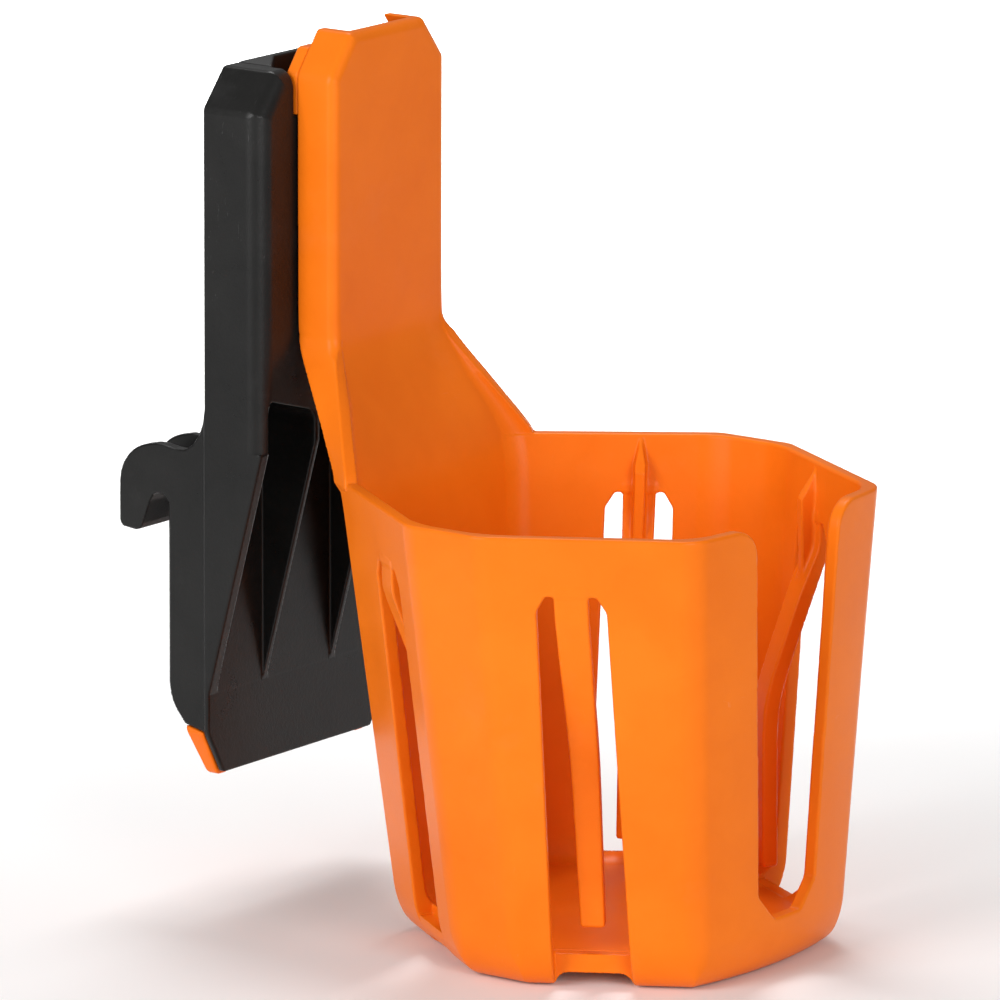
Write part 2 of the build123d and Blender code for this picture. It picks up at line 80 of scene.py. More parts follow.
# cup walls: direction of the outward normal, distance from the centre at rim and at base,
# and how much the corner before this wall is rounded
CUP_SIDES = (
    (90.0, 49.4, 39.2, 0.0),
    (35.2, 53.2, 40.7, 2.0),
    (0.0, 57.25, 46.1, 1.5),
    (-30.8, 53.0, 45.0, 1.2),
    (-90.0, 46.8, 41.2, 2.6),
)
FRONT_BULGE = (2.8, 5.6)
# finger walls: number in CUP_SIDES, slot's centre at its top and at the base, sign of the way
# along the wall that goes to the side
FINGER_WALLS = {"front": (3, 3.5, -1.0, 1.0), "back": (1, 6.2, 4.0, -1.0)}
FINGER_ROOT = -4.0


# ---------------------------------------------------------------- distance functions
def both(a, b, r):
    """Where a and b overlap, with the edge between them rounded."""
    return np.minimum(-r, np.maximum(a, b)) + np.hypot(np.maximum(r + a, 0), np.maximum(r + b, 0))


def either(a, b, r):
    """a and b joined, with a fillet between them."""
    return np.maximum(r, np.minimum(a, b)) - np.hypot(np.maximum(r - a, 0), np.maximum(r - b, 0))


def slab(u, low, high):
    """Between two planes."""
    return np.maximum(low - u, u - high)


def box(x, y, z, low, high, r):
    """Box with all its edges rounded."""
    sides = both(slab(x, low[0], high[0]), slab(y, low[1], high[1]), r)
    return both(sides, slab(z, low[2], high[2]), r)


def line(u, v, start, end):
    """Signed distance to the line from start to end, negative on its left."""
    du, dv = end[0] - start[0], end[1] - start[1]
    size = math.hypot(du, dv)
    return ((u - start[0]) * dv - (v - start[1]) * du) / size


def convex(u, v, points, r):
    """Convex outline of points in anticlockwise order."""
    d = None
    for start, end in zip(points, points[1:] + points[:1]):
        side = line(u, v, start, end)
        d = side if d is None else both(d, side, r)
    return d


def outline(u, v, points):
    """Exact distance to any closed outline, negative inside."""
    near = np.full(np.broadcast(u, v).shape, 1e9, np.float32)
    inside = np.zeros(near.shape, bool)
    for (u0, v0), (u1, v1) in zip(points, points[1:] + points[:1]):
        du, dv = u1 - u0, v1 - v0
        along = np.clip(((u - u0) * du + (v - v0) * dv) / (du * du + dv * dv), 0, 1)
        near = np.minimum(near, (u - u0 - along * du) ** 2 + (v - v0 - along * dv) ** 2)
        if dv:
            inside ^= ((v0 > v) != (v1 > v)) & (u < u0 + (v - v0) * du / dv)
    return np.where(inside, -1, 1) * np.sqrt(near)


def arc(centre, radius, start, end, steps=10):
    """Points on an arc, angles in degrees."""
    turns = [math.radians(start + (end - start) * n / steps) for n in range(steps + 1)]
    return [(centre[0] + radius * math.cos(t), centre[1] + radius * math.sin(t)) for t in turns]


def smooth(t):
    """Soft step from 0 to 1."""
    t = np.clip(t, 0, 1)
    return t * t * (3 - 2 * t)


def ramp(t, soft):
    """Rises with t above 0, with a soft start."""
    return (t + np.sqrt(t * t + soft * soft)) / 2


# ---------------------------------------------------------------- the orange holder
def back_line(z):
    """Depth of the neck panel's back, down the flare and on into the cup's leaning back wall."""
    flare = NECK_FRONT + WALL - FLARE_SLOPE * ramp(BEND - z, 2.4)
    wall = CUP_Y + CUP_SIDES[0][1] - (CUP_SIDES[0][1] - CUP_SIDES[0][2]) / (RIM - BASE) * (RIM - z)
    bend = np.clip(flare - wall + 3.0, 0, 6.0) ** 2 / 12.0 + np.maximum(flare - wall - 3.0, 0)
    return wall + bend


def cup_walls(x, y, z, softer=0.0):
    """Distance outside the cup's leaning walls, with corners that can be made softer."""
    share = (RIM - z) / (RIM - BASE)
    across, depth = np.abs(x), y - CUP_Y
    d = None
    for angle, at_rim, at_base, corner in CUP_SIDES:
        turn = math.radians(angle)
        if angle == 90.0:
            wall = y - back_line(z)
        else:
            wall = math.cos(turn) * across + math.sin(turn) * depth - (at_rim + (at_base - at_rim) * share)
        if angle == -90.0:
            bulge = FRONT_BULGE[0] + (FRONT_BULGE[1] - FRONT_BULGE[0]) * share
            wall = wall - bulge * (1 - (across / 33.0) ** 2)
        d = wall if d is None else both(d, wall, corner + softer)
    return d


def wall_axes(x, y, z, end):
    """Position on a finger's wall: along from the slot's centre, inwards from the rim's plane."""
    number, at_top, at_base, way = FINGER_WALLS[end]
    angle, at_rim, _, _ = CUP_SIDES[number]
    turn = math.radians(angle)
    across, depth = np.abs(x), y - CUP_Y
    inward = at_rim - math.cos(turn) * across - math.sin(turn) * depth
    along = way * (math.cos(turn) * depth - math.sin(turn) * across)
    centre = at_top + (at_base - at_top) * (FINGER_ROOT - z) / (FINGER_ROOT - BASE)
    return along - centre, inward


def wall_lean(z, end):
    """How far a finger's wall has leaned inwards at a height."""
    _, at_rim, at_base, _ = CUP_SIDES[FINGER_WALLS[end][0]]
    return (at_rim - at_base) * (RIM - z) / (RIM - BASE)


def finger(x, y, z, end):
    """Springy strip that bends inwards out of the wall, and the rib at its root."""
    along, inward = wall_axes(x, y, z, end)
    root = wall_lean(FINGER_ROOT, end)
    low = (FINGER_ROOT - z) / (FINGER_ROOT - FINGER_TIP)
    face = root + 13.1 - ramp(13.1 - 0.40 * ramp(-8.6 - z, 1.6), 2.2)
    q = inward - face
    half = 3.6 - 1.0 * low
    strip = both(slab(q, 0.0, 2.8 + 0.8 * smooth((-6.0 - z) / 14.0)), np.abs(along) - half, 0.5)
    strip = both(strip, slab(z, FINGER_TIP, -1.0), 1.0)
    crest = root + 5.9 - 4.4 * np.clip((z - 1.5) / 7.0, 0, 1)
    taper = 1.15 * np.clip((z - 3.0) / 6.0, 0, 1)
    rib = both(np.maximum(1.5 - q, inward - crest), np.abs(along) - 1.2 + taper, 0.4)
    rib = both(rib, slab(z, -17.0, 8.4), 0.5)
    return either(strip, rib, 0.9)


def slot(x, y, z, end):
    """The window in a diagonal wall around its finger, open down through the foot."""
    along, inward = wall_axes(x, y, z, end)
    low = (FINGER_ROOT - z) / (FINGER_ROOT - BASE)
    half = 7.3 + 1.0 * low
    edge = np.abs(along) - half
    top = line(np.abs(along), z, (7.3, -6.6), (5.3, -3.4))
    window = both(both(edge, z + 3.4, 0.3), top, 0.3)
    above = both(inward - 15.5, FLOOR_TOP - z, 0.3)
    arch = both(edge, z - FLOOR_UNDER, 3.0)
    window = both(window, np.minimum(above, inward - 12.5), 0.4)
    opening = np.minimum(window, np.maximum(arch, inward - 18.5))
    return np.maximum(opening, -8.0 - inward)


def neck(x, y, z):
    """Channel that carries the cup, and the flare where it opens into the cup's walls."""
    across = np.abs(x)
    t = 1.0 - ramp(1.0 - ramp((BEND - z) / (BEND - RIM), 0.10), 0.08)
    back_x, back_y = NECK_HALF + 10.5 * t, NECK_BACK - 18.1 * t
    front_x, front_y = NECK_HALF + 14.6 * t, NECK_FRONT - 14.1 * t
    panel_front = back_line(z) - WALL
    fade = 0.3 * np.maximum(RIM - 1.0 - z, 0)
    du, dv = front_x - back_x, front_y - back_y
    size = np.sqrt(du * du + dv * dv)
    outside = -((across - back_x) * dv - (y - back_y) * du) / size + fade
    length = ((across - back_x) * du + (y - back_y) * dv) / size
    side = both(slab(outside, -WALL, 0.0), slab(length, 0.0, size), 0.5)
    panel = both(slab(y, panel_front, panel_front + WALL), across - (front_x + back_x) / 2 + 1.4, 0.1)
    chamfer = 0.789 * across + 0.614 * z - 72.62
    frame_in = np.maximum(across - (NECK_HALF - WALL), chamfer + 2.1)
    flange = both(slab(y, NECK_FRONT, NECK_BACK), -frame_in, 0.4)
    flange = np.maximum(flange, 60.0 - z)
    crease = 0.05 + 3.0 * np.clip(t * 2.5 - 0.12, 0, 1)
    body = np.minimum(np.maximum(either(side, panel, crease), outside), flange)
    profile = both(both(across - NECK_HALF - 22.0 * np.maximum(t - 0.02, 0), chamfer, 0.8), z - NECK_TOP, 0.7)
    hull = both(profile, panel_front - 12.0 * np.maximum(t - 0.02, 0) - y, 2.3)
    hull = both(hull, y - back_y, 0.4)
    return np.maximum(np.maximum(body, hull) + fade, -6.0 - z)


def holder(x, y, z):
    """Cup, neck and fingers, moulded in one piece."""
    walls = cup_walls(x, y, z)
    lean = (RIM - z) / (RIM - BASE)
    foot = both(1.75 * walls, BASE - z, 11.0) / 1.75
    hollow = both(cup_walls(x, y, z, 4.0) + WALL, FLOOR_TOP - z, 6.0)
    under = both(walls + 9.0, z - FLOOR_UNDER, 0.6)
    top = z - RIM
    mouth_half = 14.9 - 4.9 * np.clip(lean / 0.85, 0, 1.2)
    across = np.abs(x)
    corner = line(across, z, (9.7, -71.9), (4.6, MOUTH_LOW))
    mouth = both(both(across - mouth_half, MOUTH_LOW - z, 0.4), -corner, 0.4)
    mouth = np.maximum(mouth, y - (CUP_Y - 20.0))
    lip = both(top, -np.maximum(np.maximum(across - mouth_half, -40.0 - z), y - (CUP_Y - 20.0)), 6.5)
    shell = both(foot, -hollow, 0.6)
    shell = both(shell, -under, 0.6)
    shell = both(shell, lip, 0.7)
    shell = both(shell, -mouth, 0.6)
    for end in FINGER_WALLS:
        shell = both(shell, -slot(x, y, z, end), 0.5)
    body = np.minimum(shell, neck(x, y, z))
    for end in FINGER_WALLS:
        body = either(body, finger(x, y, z, end), 0.7)
    return body


# ---------------------------------------------------------------- from functions to meshes
def grid_axis(low, high, step):
    """Grid lines from low to high, with a margin at both ends."""
    return np.arange(low - 2.5 * step, high + 3.5 * step, step, dtype=np.float32)


def surface_net(field, xs, ys, zs):
    """Points and four-sided faces of the field's zero surface, from a grid of its values."""
    inside = field < 0
    cell = inside[:-1, :-1, :-1].astype(np.uint8)
    offsets = [(i, j, k) for i in (0, 1) for j in (0, 1) for k in (0, 1)]
    count = np.zeros(cell.shape, np.uint8)
    shape = cell.shape
    for i, j, k in offsets:
        count += inside[i:i + shape[0], j:j + shape[1], k:k + shape[2]]
    mixed = (count > 0) & (count < 8)
    cells = np.argwhere(mixed)
    index = np.full(shape, -1, np.int32)
    index[mixed] = np.arange(len(cells))
    total = np.zeros((len(cells), 3))
    hits = np.zeros(len(cells))
    for a in offsets:
        for axis in range(3):
            if a[axis]:
                continue
            b = list(a)
            b[axis] = 1
            va = field[tuple((cells + a).T)]
            vb = field[tuple((cells + b).T)]
            cross = (va < 0) != (vb < 0)
            share = np.where(cross, va / np.where(cross, va - vb, 1), 0)
            point = np.array(a, float) + np.zeros((len(cells), 3))
            point[:, axis] += share
            total += point * cross[:, None]
            hits += cross
    local = total / hits[:, None] + cells
    points = np.column_stack([np.interp(local[:, n], np.arange(len(axis)), axis)
                              for n, axis in enumerate((xs, ys, zs))])
    faces = []
    for axis in range(3):
        first, second = (axis + 1) % 3, (axis + 2) % 3
        low = [slice(1, -1)] * 3
        high = [slice(1, -1)] * 3
        low[axis], high[axis] = slice(0, -1), slice(1, None)
        a, b = inside[tuple(low)], inside[tuple(high)]
        where = np.argwhere(a != b)
        start = where.copy()
        start[:, first] += 1
        start[:, second] += 1
        solid = a[tuple(where.T)]
        corners = []
        for df, ds in ((0, 0), (1, 0), (1, 1), (0, 1)):
            at = start.copy()
            at[:, first] -= df
            at[:, second] -= ds
            corners.append(index[tuple(at.T)])
        quad = np.column_stack(corners)
        faces.append(np.where(solid[:, None], quad, quad[:, ::-1]))
    return points, np.concatenate(faces)


def slope(solid, points, reach=0.05):
    """Value and gradient of a distance function at points."""
    x, y, z = points.T
    value = solid(x, y, z)
    grad = np.column_stack([
        solid(x + reach, y, z) - solid(x - reach, y, z),
        solid(x, y + reach, z) - solid(x, y - reach, z),
        solid(x, y, z + reach) - solid(x, y, z - reach)]) / (2 * reach)
    return value, grad


def settle(solid, points, limit):
    """Moves points onto the surface."""
    for _ in range(3):
        value, grad = slope(solid, points)
        size = np.maximum((grad ** 2).sum(1), 0.2)
        step = grad * (value / size)[:, None]
        far = np.linalg.norm(step, axis=1)
        step *= np.minimum(1, limit / np.maximum(far, 1e-9))[:, None]
        points = points - step
    return points


def new_object(name, mesh):
    piece = bpy.data.objects.new(name, mesh)
    bpy.context.scene.collection.objects.link(piece)
    return piece


def coordinates(mesh):
    co = np.zeros(len(mesh.vertices) * 3)
    mesh.vertices.foreach_get("co", co)
    return co.reshape(-1, 3)


def apply_modifiers(piece):
    """Puts the modifiers' result into the piece's own mesh."""
    graph = bpy.context.evaluated_depsgraph_get()
    mesh = bpy.data.meshes.new_from_object(piece.evaluated_get(graph))
    piece.modifiers.clear()
    piece.data = mesh
    return mesh


def moulded(name, solid, low, high, step, keep):
    """Mesh of a distance function that is the same on both sides of the middle.

    keep is the share of faces left after thinning.
    """
    ys, zs = grid_axis(low[1], high[1], step), grid_axis(low[2], high[2], step)
    half = np.arange(step / 2, high[0] + 3.5 * step, step, dtype=np.float32)
    xs = np.concatenate([-half[::-1], half])
    field = solid(half[:, None, None], ys[None, :, None], zs[None, None, :])
    field = np.concatenate([field[::-1], field]).astype(np.float32)
    points, faces = surface_net(field, xs, ys, zs)
    points = settle(solid, points, step)
    mesh = bpy.data.meshes.new(name)
    mesh.from_pydata((points * MM).tolist(), [], faces.tolist())
    piece = new_object(name, mesh)
    thin = piece.modifiers.new("thin", "DECIMATE")
    thin.ratio = keep
    mesh = apply_modifiers(piece)
    points = settle(solid, coordinates(mesh) / MM, step * 0.5)
    mesh.vertices.foreach_set("co", (points * MM).ravel())
    mesh.update()
    return piece


def shade(piece, solid):
    """Normals straight from the distance function."""
    mesh = piece.data
    mesh.shade_smooth()
    _, grad = slope(solid, coordinates(mesh) / MM)
    size = np.maximum(np.linalg.norm(grad, axis=1), 1e-6)
    mesh.normals_split_custom_set_from_vertices((grad / size[:, None]).tolist())


# ---------------------------------------------------------------- the black bracket
def bracket_side():
    """Side view of the bracket, anticlockwise seen with y to the right and z up."""
    points = [(BRACKET_FRONT, BRACKET_TOP), (BRACKET_FRONT, 11.8), (APRON_FRONT, APRON_TOP)]
    points += [(APRON_FRONT, BRACKET_BOTTOM), (APRON_BACK, BRACKET_BOTTOM), (APRON_BACK, -51.2), (-6.9, -50.0)]
    points += [(-4.9, -47.7), (-3.65, -45.7), (-2.95, -43.6), (-2.65, -41.4), (-2.65, -3.4)]
    points += arc((0.0, -2.75), 2.75, 165, 55, 8)
    points += [(2.6, -2.2), (4.5, -7.3), (5.2, -8.6), (6.4, -8.95), (9.0, -8.7)]
    points += arc((9.3, -7.2), 1.5, -80, 0, 4)
    points += [(10.8, -1.0)]
    points += arc((1.3, 1.1), 9.5, -5, 78, 10)
    points += [(0.9, 10.9), (-1.6, 10.75), (-4.2, 10.35), (-6.2, 10.3)]
    points += [(-7.6, 10.75), (-9.3, 12.0), (-10.9, 14.2), (-11.9, 16.8), (BRACKET_BACK, 20.0)]
    points += [(BRACKET_BACK, BRACKET_TOP)]
    return points


def hook_gap(y, z):
    """Hollow between two of the hook's ribs, above the skin that lines the rail's seat."""
    skin = [(APRON_BACK, 40.0), (APRON_BACK, -6.5), (-5.05, -6.5), (-5.05, -2.4)]
    skin += arc((0.0, -2.4), 5.05, 170, 20, 8)
    skin += [(5.2, -1.6), (7.3, -7.0), (7.5, -12.0), (14.0, -12.0), (14.0, 40.0)]
    return outline(y, z, skin)


def bracket(x, y, z):
    """Black housing with its hook, front pockets, hollow top and latch bay."""
    across = np.abs(x)
    side = outline(y, z, bracket_side())
    width = convex(across, z, [(-40.0, BRACKET_BOTTOM), (26.3, BRACKET_BOTTOM), (32.0, -51.1), (32.0, 85.5),
                               (24.8, BRACKET_TOP), (-40.0, BRACKET_TOP)], 0.7)
    body = both(side, width, 0.55)
    # rounded front of the tall upper box
    upper = both(width, BRACKET_FRONT - y, 4.2)
    body = np.maximum(body, np.where(z > 11.8, upper, -9.0))
    # step on each side face, where the housing's back half begins
    body = both(body, -both(31.8 - across, -12.3 - y, 0.1), 0.15)
    # front pockets, with the side walls and two blades left standing
    pocket_side = convex(across, z, [(12.8, -75.0), (28.9, -75.0), (28.9, 21.4), (28.2, 22.9), (14.3, 19.0),
                                     (12.8, 17.2)], 0.5)
    pocket_mid = convex(across, z, [(-11.2, -75.0), (11.2, -75.0), (11.2, 17.2), (9.7, 19.0), (-9.7, 19.0),
                                    (-11.2, 17.2)], 0.5)
    pockets = both(np.minimum(pocket_side, pocket_mid), y - APRON_FRONT, 0.5)
    pockets = np.maximum(pockets, APRON_TOP - z)
    body = both(body, -pockets, 0.02 + 0.43 * np.clip((z + 43.5) / 10.0, 0, 1))
    # hollow upper box, open at the top for the insert, with the recess for the tongue's cap
    opening = 20.1
    hollow = box(across, y, z, (-9.0, BRACKET_FRONT + FRONT_WALL, 30.0),
                 (opening, BRACKET_BACK + 4.0, 120.0), 0.3)
    cap = box(across, y, z, (-9.0, BRACKET_FRONT - 4.0, CAP_FOOT), (opening, BRACKET_FRONT + 6.0, 120.0), 0.3)
    groove = box(across, y, z, (-5.0, BRACKET_FRONT - 4.0, TONGUE_FOOT - 2.0),
                 (5.3, BRACKET_FRONT + 6.0, 120.0), 0.3)
    body = both(body, -hollow, 0.3)
    body = both(body, -cap, 0.6)
    body = both(body, -groove, 0.3)
    # latch bay, open to the back and below
    bay = both(slab(across, -9.0, 29.0), slab(y, APRON_BACK, 20.0), 0.3)
    bay = both(bay, slab(z, -70.0, -9.0), 0.3)
    body = both(body, -bay, 0.3)
    # spaces between the hook's six ribs
    between = np.maximum(1.1 - np.abs((across % 12.3) - 6.15), across - 29.0)
    gaps = both(hook_gap(y, z), between, 0.4)
    body = both(body, -gaps, 0.4)
    return body


def bosses(x, y, z):
    """Screw bosses and spring ledges in the latch bay."""
    across = np.abs(x)
    d = None
    for height in (-15.0, -40.5):
        tube = np.hypot(across - 24.5, z - height) - 3.6
        web = box(across, y, z, (24.5, -12.2, height - 1.0), (29.4, -6.2, height + 1.0), 0.2)
        tube = both(tube, slab(y, -12.2, -6.2), 0.3)
        tube = both(tube, 1.25 - np.hypot(across - 24.5, z - height), 0.2)
        part = np.minimum(tube, np.maximum(web, 1.4 - np.hypot(across - 24.5, z - height)))
        d = part if d is None else np.minimum(d, part)
    ledge = box(across, y, z, (11.0, -12.2, -49.5), (17.0, -6.4, -47.0), 0.3)
    return np.minimum(d, ledge)


def housing(x, y, z):
    """The bracket with its bosses."""
    return np.minimum(bracket(x, y, z), bosses(x, y, z))


def insert(x, y, z):
    """Hollow block behind the tongue, with the opening seen from above."""
    across = np.abs(x)
    body = box(across, y, z, (-9.0, -21.6, 30.0), (19.8, BRACKET_BACK, BRACKET_TOP), 0.5)
    inner = box(across, y, z, (-9.0, -19.4, 32.4), (17.4, -14.8, BRACKET_TOP - 2.5), 0.5)
    mouth = convex(across, y, [(-30.0, -30.0), (30.0, -30.0), (19.2, -21.0), (9.5, -14.2), (-30.0, -14.2)], 0.3)
    mouth = np.maximum(mouth, CAP_FOOT - z)
    body = both(body, -inner, 0.3)
    return both(body, -mouth, 0.4)


def latch(x, y, z):
    """Sprung plate with the pull pad below and the catch nose behind."""
    across = np.abs(x)
    stem = box(across, y, z, (-9.0, -11.7, -58.0), (19.5, -8.9, -14.0), 0.5)
    pad = convex(across, z, [(-40.0, -61.8), (25.8, -61.8), (26.8, -61.1), (31.8, -51.6), (31.8, -49.0),
                             (-40.0, -49.0)], 0.3)
    # between its corners the pad ends level with the plate in front of it
    pad = np.maximum(pad, np.minimum(BRACKET_BOTTOM - z, 23.0 - across))
    depth = convex(y, z, [(-11.7, -65.0), (-9.2, -65.0), (-7.1, -50.3), (-11.7, -51.5)], 0.3)
    pad = both(pad, depth, 0.5)
    nose = convex(y, z, [(-10.0, -39.0), (-3.0, -39.0), (0.8, -33.0), (0.8, -31.0), (-10.0, -31.0)], 0.5)
    nose = both(nose, across - 7.5, 0.5)
    body = either(np.minimum(stem, pad), nose, 0.6)
    window = box(across, y, z, (10.6, -20.0, -49.7), (17.4, 0.0, -33.0), 0.3)
    lip = box(across, y, z, (10.6, -11.7, -33.1), (17.4, -6.5, -31.4), 0.3)
    body = np.minimum(both(body, -window, 0.3), lip)
    for height in (-57.4, -59.6):
        groove = both(np.hypot(y + 8.5, z - height) - 0.8, across - 18.0, 0.4)
        body = both(body, -groove, 0.2)
    return body


def tongue(x, y, z):
    """Plate and T-shaped slide behind the neck, with the cap that rests on the bracket."""
    across = np.abs(x)
    plate = box(across, y, z, (-9.0, -33.6, 40.0), (16.7, -31.2, 88.0), 0.4)
    web = box(across, y, z, (-9.0, -31.5, 40.0), (5.0, -21.9, 96.0), 0.4)
    head = box(across, y, z, (-9.0, -24.9, 40.0), (10.0, -21.9, 96.0), 0.4)
    cap = convex(across, z, [(-30.0, CAP_FOOT), (19.6, CAP_FOOT), (19.6, 92.9), (15.6, 98.0),
                             (-30.0, 98.0)], 0.5)
    cap = both(cap, slab(y, -28.4, -25.2), 0.7)
    body = np.minimum(either(either(plate, web, 0.5), head, 0.4), cap)
    for height in (47.0, 76.0):
        hole = np.hypot(across - 13.2, z - height) - 1.7
        body = both(body, -hole, 0.3)
    return body


# ---------------------------------------------------------------- materials
def node_material(name):
    """A new material, its node tree and its shader."""
    material = bpy.data.materials.new(name)
    material.use_nodes = True
    tree = material.node_tree
    tree.nodes.clear()
    out = tree.nodes.new("ShaderNodeOutputMaterial")
    shader = tree.nodes.new("ShaderNodeBsdfPrincipled")
    tree.links.new(shader.outputs[0], out.inputs[0])
    return material, tree, shader


def add(tree, kind, settings=(), **inputs):
    """A node with its settings, and its inputs by name, each a value or another node's output."""
    node = tree.nodes.new(kind)
    for key, value in dict(settings).items():
        setattr(node, key, value)
    for key, value in inputs.items():
        socket = node.inputs[int(key[1:])] if key[0] == "i" and key[1:].isdigit() else node.inputs[key]
        if isinstance(value, bpy.types.NodeSocket):
            tree.links.new(value, socket)
        else:
            socket.default_value = value
    return node


def noise(tree, place, scale, detail=3.0, rough=0.55, distortion=0.0):
    node = add(tree, "ShaderNodeTexNoise", Vector=place, Scale=scale, Detail=detail, Roughness=rough,
               Distortion=distortion)
    return node.outputs["Fac"]


def span(tree, value, low, high, to_low, to_high):
    """Maps a range of values to another, clamped."""
    node = add(tree, "ShaderNodeMapRange", {"clamp": True}, Value=value, i1=low, i2=high, i3=to_low, i4=to_high)
    return node.outputs[0]


def mix_colour(tree, share, first, second, mode="MIX"):
    node = add(tree, "ShaderNodeMix", {"data_type": "RGBA", "blend_type": mode}, i0=share, i6=first, i7=second)
    return node.outputs[2]


def math_node(tree, operation, a, b=0.0):
    return add(tree, "ShaderNodeMath", {"operation": operation}, i0=a, i1=b).outputs[0]


def plastic(name, dark, light, rough, grain, scuffs, specular=0.5):
    """Moulded plastic: fine spark-eroded grain, soft mottling, and a few rubbed marks and scratches."""
    material, tree, shader = node_material(name)
    place = tree.nodes.new("ShaderNodeTexCoord").outputs["Object"]
    cloud = noise(tree, place, 22.0, 4.0, 0.5)
    flow = noise(tree, place, 90.0, 3.0, 0.6, 0.6)
    tone = math_node(tree, "ADD", math_node(tree, "MULTIPLY", cloud, 0.7),
                     math_node(tree, "MULTIPLY", flow, 0.3))
    colour = mix_colour(tree, span(tree, tone, 0.35, 0.65, 0.0, 1.0), (*dark, 1), (*light, 1))
    # hairline scratches: stretched noise, only its crests
    stretched = add(tree, "ShaderNodeMapping", Vector=place, Rotation=(0.5, 0.35, 0.2),
                    Scale=(16.0, 300.0, 60.0))
    lines = noise(tree, stretched.outputs[0], 8.0, 2.0, 0.5, 1.0)
    patches = span(tree, noise(tree, place, 45.0, 2.0), 0.56, 0.66, 0.0, 1.0)
    marks = math_node(tree, "MULTIPLY", span(tree, lines, 0.70, 0.76, 0.0, 1.0), patches)
    rubbed = span(tree, noise(tree, place, 32.0, 5.0, 0.7), 0.58, 0.75, 0.0, 1.0)
    worn = math_node(tree, "MAXIMUM", marks, math_node(tree, "MULTIPLY", rubbed, 0.35))
    worn = math_node(tree, "MULTIPLY", worn, scuffs)
    pale = tuple(min(1.0, 0.25 + c * 0.9) for c in light)
    colour = mix_colour(tree, worn, colour, (*pale, 1))
    tree.links.new(colour, shader.inputs["Base Color"])
    fine = noise(tree, place, 2600.0, 2.0, 0.6)
    uneven = math_node(tree, "ADD", math_node(tree, "MULTIPLY", flow, 0.6),
                       math_node(tree, "MULTIPLY", fine, 0.4))
    base = span(tree, uneven, 0.3, 0.7, rough - 0.05, rough + 0.06)
    roughness = math_node(tree, "ADD", base, math_node(tree, "MULTIPLY", worn, 0.25))
    tree.links.new(roughness, shader.inputs["Roughness"])
    height = math_node(tree, "ADD", math_node(tree, "MULTIPLY", fine, 0.5),
                       math_node(tree, "MULTIPLY", noise(tree, place, 1100.0, 3.0), 0.5))
    height = math_node(tree, "SUBTRACT", height, math_node(tree, "MULTIPLY", marks, 0.6))
    bump = add(tree, "ShaderNodeBump", Strength=grain, Distance=0.00012, Height=height)
    wave = add(tree, "ShaderNodeBump", Strength=0.12, Distance=0.0012, Height=cloud, Normal=bump.outputs[0])
    tree.links.new(wave.outputs[0], shader.inputs["Normal"])
    shader.inputs["Specular IOR Level"].default_value = specular
    return material


def steel(name):
    """Zinc-plated steel with fine draw lines."""
    material, tree, shader = node_material(name)
    place = tree.nodes.new("ShaderNodeTexCoord").outputs["Object"]
    cloud = noise(tree, place, 400.0, 4.0, 0.6)
    lines = add(tree, "ShaderNodeMapping", Vector=place, Scale=(900.0, 120.0, 900.0))
    brushed = noise(tree, lines.outputs[0], 3.0, 3.0)
    colour = mix_colour(tree, span(tree, cloud, 0.3, 0.7, 0.0, 1.0), (0.42, 0.43, 0.45, 1),
                        (0.62, 0.63, 0.65, 1))
    tree.links.new(colour, shader.inputs["Base Color"])
    tree.links.new(span(tree, brushed, 0.3, 0.7, 0.24, 0.42), shader.inputs["Roughness"])
    bump = add(tree, "ShaderNodeBump", Strength=0.3, Distance=0.00005, Height=brushed)
    tree.links.new(bump.outputs[0], shader.inputs["Normal"])
    shader.inputs["Metallic"].default_value = 1.0
    return material


ORANGE = plastic("orange_plastic", (0.84, 0.165, 0.005), (0.91, 0.195, 0.008), 0.33, 0.3, 0.10, 0.14)
LATCH = plastic("orange_latch_plastic", (0.82, 0.15, 0.005), (0.90, 0.175, 0.008), 0.33, 0.3, 0.10, 0.14)
BLACK = plastic("black_plastic", (0.0060, 0.0059, 0.0057), (0.0110, 0.0107, 0.0102), 0.31, 0.5, 0.10, 0.26)
BLACK_INNER = plastic("black_insert_plastic", (0.010, 0.010, 0.010), (0.018, 0.0175, 0.017), 0.46, 0.6, 0.03)
STEEL = steel("zinc_plated_steel")


def dress(piece, material, body, slot_name, *nodes):
    """Gives a piece its material, its body and the CAD nodes that it stands for, which it hides; slot_name is
    not used.
    """
    piece.data.materials.clear()
    piece.data.materials.append(material)
    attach(piece, body)
    if nodes:
        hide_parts(*nodes)
    return piece


# ---------------------------------------------------------------- pieces
def in_finger(points, end, sign):
    """Which points, in millimetres, are in a finger's zone."""
    x, y, z = points.T
    along, inward = wall_axes(x, y, z, end)
    return (np.abs(along) < 5.2) & (inward > -1.0) & (inward < 25.0) & (z < FINGER_ROOT + 0.001) \
        & (z > -79.5) & (x * sign > 0)


def close_cuts(bm):
    """Fills the openings that a cut has left."""
    rims = [e for e in bm.edges if e.is_boundary]
    if rims:
        bmesh.ops.holes_fill(bm, edges=rims, sides=0)
        bmesh.ops.triangulate(bm, faces=[f for f in bm.faces if len(f.verts) > 4])


def cut_out(mesh, name, zones, keep_inside):
    """Copy of a mesh with only the faces in the zones, or only those outside them."""
    bm = bmesh.new()
    bm.from_mesh(mesh)
    bm.faces.ensure_lookup_table()
    centres = np.array([f.calc_center_median() for f in bm.faces]) / MM
    chosen = np.zeros(len(centres), bool)
    for end, sign in zones:
        chosen |= in_finger(centres, end, sign)
    gone = [f for f, inside in zip(bm.faces, chosen) if inside != keep_inside]
    bmesh.ops.delete(bm, geom=gone, context="FACES")
    close_cuts(bm)
    result = bpy.data.meshes.new(name)
    bm.to_mesh(result)
    bm.free()
    return result


